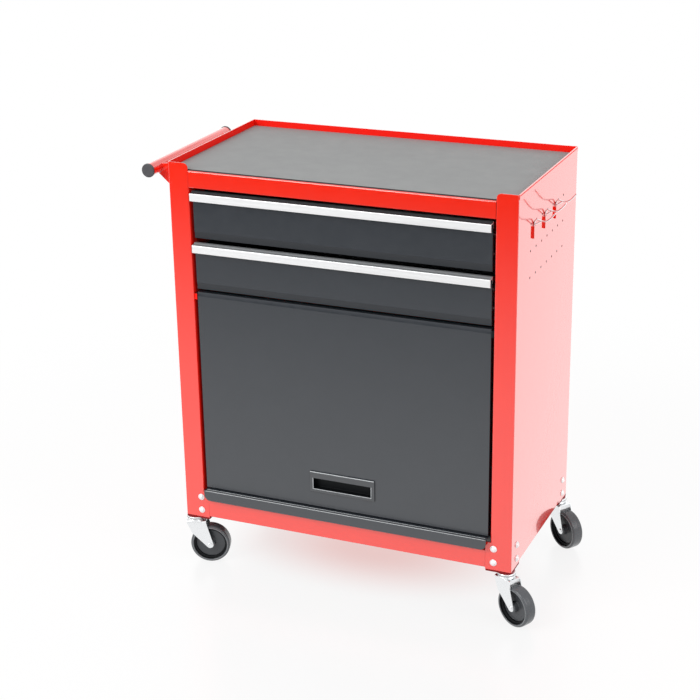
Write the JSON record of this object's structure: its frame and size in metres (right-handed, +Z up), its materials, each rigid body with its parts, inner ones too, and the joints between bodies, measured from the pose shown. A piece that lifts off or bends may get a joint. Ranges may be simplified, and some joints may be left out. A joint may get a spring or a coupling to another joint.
{
  "type": "tool cart",
  "caption": "Rolling steel tool cabinet with shallow drawers, a tuck-away door, a matted top, wire hooks, a side push handle and swivel casters.",
  "frame": {"origin": "middle of the bounding box, on the floor under the casters", "axes": "+Z up; the drawers, door and front posts face -Y; the push handle is on the -X side and the hooks on the +X side"},
  "size_m": [0.723, 0.391, 0.751],
  "materials": {
    "red_paint": "gloss powder coat",
    "charcoal_paint": "satin powder coat",
    "aluminium": "satin anodised",
    "zinc_plate": "bright zinc plate",
    "mat_grey": "matt",
    "wheel_grey": "satin moulded",
    "black_plastic": "satin moulded"
  },
  "bodies": {
    "cabinet": {"back_panel": "red_paint", "bottom_shelf": "charcoal_paint", "caster_front_left_stem": "zinc_plate", "caster_front_right_stem": "zinc_plate", "caster_rear_left_stem": "zinc_plate", "caster_rear_right_stem": "zinc_plate", "corner_bracket_front_left": "zinc_plate", "corner_bracket_front_right": "zinc_plate", "corner_bracket_rear_left": "zinc_plate", "corner_bracket_rear_right": "zinc_plate", "door_track_left": "charcoal_paint", "door_track_right": "charcoal_paint", "drawer_lower_slide_outer_left": "zinc_plate", "drawer_lower_slide_outer_right": "zinc_plate", "drawer_support_left": "red_paint", "drawer_support_right": "red_paint", "drawer_upper_slide_outer_left": "zinc_plate", "drawer_upper_slide_outer_right": "zinc_plate", "front_bottom_rail": "red_paint", "handle_bracket_front": "red_paint", "handle_bracket_rear": "red_paint", "handle_cap_front": "wheel_grey", "handle_cap_rear": "wheel_grey", "handle_tube": "red_paint", "hook_front": "zinc_plate", "hook_middle": "zinc_plate", "hook_rail": "red_paint", "hook_rear": "zinc_plate", "rear_bottom_rail": "red_paint", "side_panel_left": "red_paint", "side_panel_right": "red_paint", "top_front_rail": "red_paint", "top_mat": "mat_grey", "top_tray": "red_paint"},
    "upper_drawer": {"drawer_upper_box": "charcoal_paint", "drawer_upper_front": "charcoal_paint", "drawer_upper_pull": "aluminium", "drawer_upper_slide_inner_left": "zinc_plate", "drawer_upper_slide_inner_right": "zinc_plate"},
    "lower_drawer": {"drawer_lower_box": "charcoal_paint", "drawer_lower_front": "charcoal_paint", "drawer_lower_pull": "aluminium", "drawer_lower_slide_inner_left": "zinc_plate", "drawer_lower_slide_inner_right": "zinc_plate"},
    "door_carriage": {"door_roller_left": "zinc_plate", "door_roller_right": "zinc_plate"},
    "door": {"door_panel": "charcoal_paint", "door_pull": "black_plastic"},
    "caster_front_left_swivel": {"caster_front_left_fork": "zinc_plate", "caster_front_left_axle": "zinc_plate"},
    "caster_front_left_roll": {"caster_front_left_wheel": "wheel_grey"},
    "caster_front_right_swivel": {"caster_front_right_fork": "zinc_plate", "caster_front_right_axle": "zinc_plate"},
    "caster_front_right_roll": {"caster_front_right_wheel": "wheel_grey"},
    "caster_rear_left_swivel": {"caster_rear_left_fork": "zinc_plate", "caster_rear_left_axle": "zinc_plate"},
    "caster_rear_left_roll": {"caster_rear_left_wheel": "wheel_grey"},
    "caster_rear_right_swivel": {"caster_rear_right_fork": "zinc_plate", "caster_rear_right_axle": "zinc_plate"},
    "caster_rear_right_roll": {"caster_rear_right_wheel": "wheel_grey"}
  },
  "joints": [
    {"name": "upper_drawer_slide", "type": "slide", "parent": "cabinet", "child": "upper_drawer", "axis": [0, -1, 0], "range_m": [0, 0.23]},
    {"name": "lower_drawer_slide", "type": "slide", "parent": "cabinet", "child": "lower_drawer", "axis": [0, -1, 0], "range_m": [0, 0.23]},
    {"name": "door_slide", "type": "slide", "parent": "cabinet", "child": "door_carriage", "axis": [0, 1, 0], "range_m": [0, 0.27]},
    {"name": "door_hinge", "type": "hinge", "parent": "door_carriage", "child": "door", "pos_m": [0.007, -0.15959, 0.5162], "axis": [-1, 0, 0], "range_deg": [0, 90]},
    {"name": "caster_front_left_swivel_turn", "type": "hinge", "parent": "cabinet", "child": "caster_front_left_swivel", "pos_m": [-0.289, -0.15809, 0.0831], "axis": [0, 0, 1], "continuous": true},
    {"name": "caster_front_left_roll_turn", "type": "hinge", "parent": "caster_front_left_swivel", "child": "caster_front_left_roll", "pos_m": [-0.26427, -0.15005, 0.036], "axis": [0.309, -0.9511, 0], "continuous": true},
    {"name": "caster_front_right_swivel_turn", "type": "hinge", "parent": "cabinet", "child": "caster_front_right_swivel", "pos_m": [0.303, -0.15809, 0.0831], "axis": [0, 0, 1], "continuous": true},
    {"name": "caster_front_right_roll_turn", "type": "hinge", "parent": "caster_front_right_swivel", "child": "caster_front_right_roll", "pos_m": [0.32596, -0.17029, 0.036], "axis": [-0.4695, -0.8829, 0], "continuous": true},
    {"name": "caster_rear_left_swivel_turn", "type": "hinge", "parent": "cabinet", "child": "caster_rear_left_swivel", "pos_m": [-0.289, 0.14891, 0.0831], "axis": [0, 0, 1], "continuous": true},
    {"name": "caster_rear_left_roll_turn", "type": "hinge", "parent": "caster_rear_left_swivel", "child": "caster_rear_left_roll", "pos_m": [-0.26908, 0.16562, 0.036], "axis": [0.6428, -0.766, 0], "continuous": true},
    {"name": "caster_rear_right_swivel_turn", "type": "hinge", "parent": "cabinet", "child": "caster_rear_right_swivel", "pos_m": [0.303, 0.14891, 0.0831], "axis": [0, 0, 1], "continuous": true},
    {"name": "caster_rear_right_roll_turn", "type": "hinge", "parent": "caster_rear_right_swivel", "child": "caster_rear_right_roll", "pos_m": [0.3243, 0.134, 0.036], "axis": [-0.5736, -0.8192, 0], "continuous": true}
  ]
}
